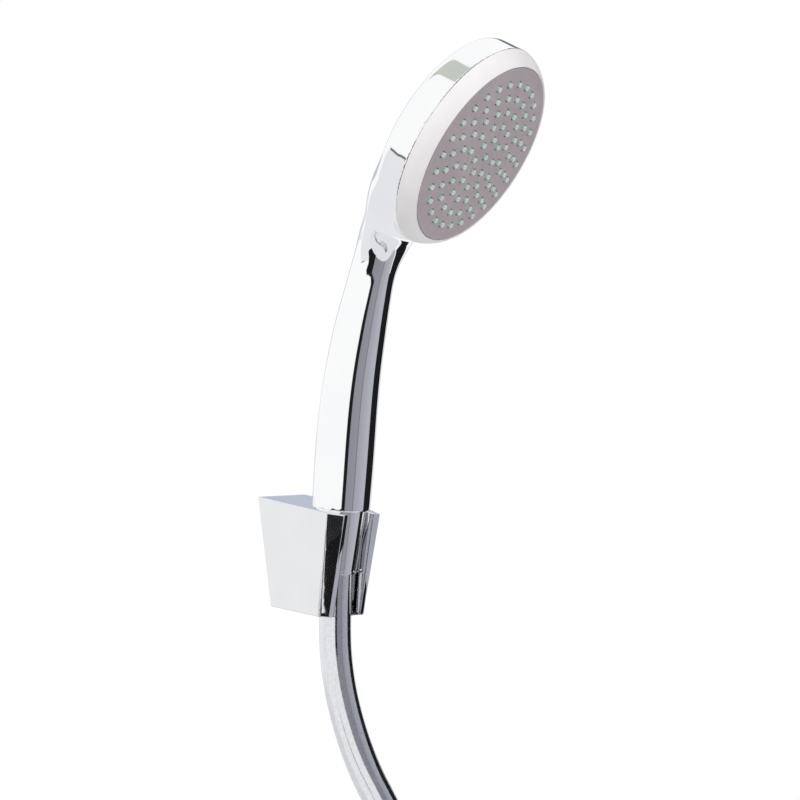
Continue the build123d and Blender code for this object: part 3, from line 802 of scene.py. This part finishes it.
def make_nozzles():
    sides = 24
    angles = np.linspace(0, 2 * pi, sides, endpoint=False)
    points, faces = [], []
    for x, y in nozzle_places():
        end = crown_depth((x * x + y * y) ** 0.5) - nozzle_length
        rows = [(1.68, -3.3), (1.22, end + nozzle_length), (1.14, end + 0.3), (1.06, end + 0.1),
                (0.90, end), (0.56, end), (0.46, end + 0.1), (0.42, end + 0.35), (0.40, end + 2.2)]
        shift = len(points)
        for radius, depth in rows:
            points += [(x + radius * cos(a), y + radius * sin(a), depth) for a in angles]
        for i in range(len(rows) - 1):
            for a in range(sides):
                b = (a + 1) % sides
                faces.append([shift + i * sides + a, shift + (i + 1) * sides + a,
                              shift + (i + 1) * sides + b, shift + i * sides + b])
        faces.append([shift + a for a in range(sides)])
        last = shift + (len(rows) - 1) * sides
        faces.append([last + a for a in reversed(range(sides))])
    shift = len(points)
    rim = 96
    for depth in (-3.35, -1.35):
        points += [(mat_radius * cos(2 * pi * a / rim), mat_radius * sin(2 * pi * a / rim), depth)
                   for a in range(rim)]
    for a in range(rim):
        b = (a + 1) % rim
        faces.append([shift + a, shift + b, shift + rim + b, shift + rim + a])
    faces.append([shift + a for a in reversed(range(rim))])
    faces.append([shift + rim + a for a in range(rim)])
    mesh = mesh_from("nozzle_field", from_head(np.array(points)), faces, 50)
    add_piece("nozzle_field", mesh, "handset", "mint_silicone", mint, "nozzle_mat")


make_nozzles()

# Materials of the CAD pieces that stay
dress(white, "bezel_ring")
dress(grey, "spray_face")
dress(inner, "jet_plate", "waterway_tube", "inlet_connector", "flow_limiter")
dress(steel, "plate_screws", "wall_plate", "grub_screw")
dress(rubber, "head_seal", "tube_seal", "limiter_seal", "sieve_washer", "wall_washer")
dress(brass, "top_insert", "end_insert")
dress(chrome, "end_sleeve", "wall_nut")
dress(tie, "coil_tie")


# Pieces inside the body stay out of its skin's reflections
for name in ("jet_plate", "plate_screws", "head_seal", "waterway_tube", "tube_seal",
             "inlet_connector", "flow_limiter", "limiter_seal", "sieve_washer", "top_insert"):
    nodes[name].visible_glossy = False


# Studio: a pale floor, soft lamps, and a room of light panels that only reflections see
def make_floor():
    height = -0.33
    bm = bmesh.new()
    bmesh.ops.create_circle(bm, cap_ends=True, radius=2.5, segments=96)
    mesh = bpy.data.meshes.new("floor")
    bm.to_mesh(mesh)
    bm.free()
    floor = bpy.data.objects.new("floor", mesh)
    floor.location = (0, -0.1, height)
    scene.collection.objects.link(floor)
    paper = plain("floor_paper", (0.83, 0.83, 0.83), (0.85, 0.85, 0.85), (0.6, 0.7), specular=0.2)
    mesh.materials.append(paper)
    floor.visible_glossy = False


make_floor()


def make_lamp(name, place, size, power):
    """A soft lamp that shines on the part."""
    aim = Vector((0, -0.06, 0.06)) - Vector(place)
    data = bpy.data.lights.new(name, "AREA")
    data.size = size
    data.energy = power
    lamp = bpy.data.objects.new(name, data)
    lamp.location = place
    lamp.rotation_euler = aim.to_track_quat("-Z", "Y").to_euler()
    lamp.visible_glossy = False
    scene.collection.objects.link(lamp)


make_lamp("key", (-1.6, -0.9, 1.3), 1.2, 22)
make_lamp("fill", (0.9, -1.7, 0.4), 1.4, 9)


def make_world():
    """White for the camera, an even fill, and for reflections a room of panels by direction."""
    world = bpy.data.worlds.new("studio")
    scene.world = world
    world.use_nodes = True
    tree = world.node_tree
    tree.nodes.clear()

    def node(kind, **inputs):
        new = tree.nodes.new(kind)
        for key, value in inputs.items():
            new.inputs[key].default_value = value
        return new

    def dot(way, direction):
        new = tree.nodes.new("ShaderNodeVectorMath")
        new.operation = "DOT_PRODUCT"
        new.inputs[1].default_value = direction
        tree.links.new(way, new.inputs[0])
        return new.outputs["Value"]

    def math(operation, one, two):
        new = tree.nodes.new("ShaderNodeMath")
        new.operation = operation
        for socket, value in zip(new.inputs, (one, two)):
            if isinstance(value, (int, float)):
                socket.default_value = value
            else:
                tree.links.new(value, socket)
        return new.outputs["Value"]

    def ramp(value, stops):
        new = tree.nodes.new("ShaderNodeValToRGB")
        elements = new.color_ramp.elements
        while len(elements) > 1:
            elements.remove(elements[-1])
        for index, (place, colour) in enumerate(stops):
            element = elements[0] if index == 0 else elements.new(place)
            element.position = place
            element.color = (*colour, 1)
        tree.links.new(value, new.inputs["Fac"])
        return new.outputs["Color"]

    def mix(share, one, two):
        new = tree.nodes.new("ShaderNodeMix")
        new.data_type = "RGBA"
        tree.links.new(share, new.inputs["Factor"])
        for socket, value in ((new.inputs[6], one), (new.inputs[7], two)):
            if isinstance(value, tuple):
                socket.default_value = (*value, 1)
            else:
                tree.links.new(value, socket)
        return new.outputs[2]

    way = tree.nodes.new("ShaderNodeTexCoord").outputs["Generated"]
    ahead = dot(way, to_camera)
    right = dot(way, to_right)
    up = dot(way, (0, 0, 1))
    # Degrees of turn from the camera to its right, and of rise
    turn = math("MULTIPLY", math("ARCTAN2", right, ahead), 180 / pi)
    rise = math("MULTIPLY", math("ARCSINE", up, 0.0), 180 / pi)
    behind = math("ABSOLUTE", turn, 0.0)

    def step(value, start, stop):
        """A share that goes from 0 at start to 1 at stop."""
        new = tree.nodes.new("ShaderNodeMapRange")
        new.inputs["From Min"].default_value = start
        new.inputs["From Max"].default_value = stop
        tree.links.new(value, new.inputs["Value"])
        return new.outputs["Result"]

    def both(one, two):
        return math("MULTIPLY", one, two)

    def within(value, low, high, soft=1.0):
        return both(step(value, low - soft, low + soft), step(value, high + soft, high - soft))

    def table(pairs):
        """A turn that depends on the rise, from rows of rise and turn."""
        stops = [((rise_at + 90) / 180, ((turn_at + 180) / 360,) * 3) for rise_at, turn_at in pairs]
        value = ramp(step(rise, -90, 90), stops)
        return math("ADD", math("MULTIPLY", value, 360.0), -180.0)

    def beyond(value, limit, soft=1.0):
        return step(math("SUBTRACT", value, limit), -soft, soft)

    def below(value, limit, soft=1.0):
        return step(math("SUBTRACT", value, limit), soft, -soft)

    # Two slanted measures: across and along the border of the low left wall
    slant_cos, slant_sin = 0.759, 0.651
    across = math("ADD", both(turn, slant_cos), both(rise, slant_sin))
    along = math("SUBTRACT", both(turn, slant_sin), both(rise, slant_cos))
    dark = (0.012, 0.012, 0.014)
    pale = (0.45, 0.46, 0.51)
    # Turns of the greys' left edge, the low dark panel's sides and the dark line's left side
    edge = table([(-60, -45), (-50, -45), (-40, -35), (-30, -24), (-25, -12), (-22, 0), (-5, 1),
                  (2, 2)])
    low_left_side = table([(-62, -95), (-56, -97), (-48, -96), (-42, -93), (-38, -84), (-34, -66),
                           (-25, -50), (-14, -44)])
    low_right_side = table([(-62, -34), (-57, -34), (-40, -22), (-25, -13), (-21, -13), (-20, -18),
                            (-18, -24), (-16, -29), (-14, -32)])
    line_left = table([(-27, -14), (-22, -14), (-20, -0.5), (-3, -0.5)])
    # Greys with a fine dark line, by turn
    greys = ramp(step(turn, -60, 120), [(0.0, (0.25, 0.25, 0.29)), (0.58, (0.29, 0.29, 0.33)),
                                        (0.594, (0.14, 0.14, 0.16)), (0.608, (0.36, 0.36, 0.41)),
                                        (0.83, pale), (1.0, pale)])
    low_wall = both(step(across, -60.4, -61.4), step(rise, -0.5, -2.0))
    low_wall_line = both(within(across, -62.2, -60.0, 0.4), within(along, -50, -35))
    grey_wall = both(both(beyond(turn, edge), step(turn, 102, 100)), within(rise, -58, 55))
    low_dark = both(both(beyond(turn, low_left_side), below(turn, low_right_side)),
                    within(rise, -60, -13, 0.6))
    dark_line = both(both(beyond(turn, line_left), step(turn, 14, 12)), within(rise, -27, -3))
    # Panels of the white room, each over those before it
    panels = [
        (low_wall, (0.82, 0.82, 0.84)),
        (low_wall_line, (0.12, 0.12, 0.13)),
        (step(rise, -57, -59), (0.78, 0.78, 0.80)),
        (grey_wall, greys),
        (low_dark, dark),
        (dark_line, dark),
        (both(within(turn, 101, 149), within(rise, -34, 43)), dark),
        (both(within(turn, 105, 166), within(rise, -53, -28)), dark),
        (both(within(turn, -47, -42), within(rise, 8, 26)), (0.40, 0.40, 0.42)),
        (both(step(behind, 147, 151), within(rise, -12, 9)), (0.74, 0.75, 0.78)),
        (both(step(behind, 152, 156), within(rise, 10, 30)), (0.53, 0.58, 0.69)),
        (both(within(turn, 156, 172), within(rise, 4, 28)), (0.10, 0.12, 0.17)),
        (both(step(up, 0.88, 0.89), within(ahead, 0.11, 0.40, 0.008)), (0.57, 0.61, 0.555)),
    ]
    room = (1.0, 1.0, 1.0)
    for share, colour in panels:
        room = mix(share, room, colour)
    paths = tree.nodes.new("ShaderNodeLightPath")
    glossy = math("MAXIMUM", paths.outputs["Is Glossy Ray"], paths.outputs["Is Transmission Ray"])
    fill = node("ShaderNodeBackground", Color=(1, 1, 1, 1), Strength=0.62)
    seen = node("ShaderNodeBackground", Color=(1, 1, 1, 1), Strength=1.0)
    mirrored = node("ShaderNodeBackground", Strength=1.0)
    tree.links.new(room, mirrored.inputs["Color"])
    first = tree.nodes.new("ShaderNodeMixShader")
    tree.links.new(glossy, first.inputs[0])
    tree.links.new(fill.outputs[0], first.inputs[1])
    tree.links.new(mirrored.outputs[0], first.inputs[2])
    second = tree.nodes.new("ShaderNodeMixShader")
    tree.links.new(paths.outputs["Is Camera Ray"], second.inputs[0])
    tree.links.new(first.outputs[0], second.inputs[1])
    tree.links.new(seen.outputs[0], second.inputs[2])
    output = tree.nodes.new("ShaderNodeOutputWorld")
    tree.links.new(second.outputs[0], output.inputs["Surface"])


make_world()

bpy.context.view_layer.update()
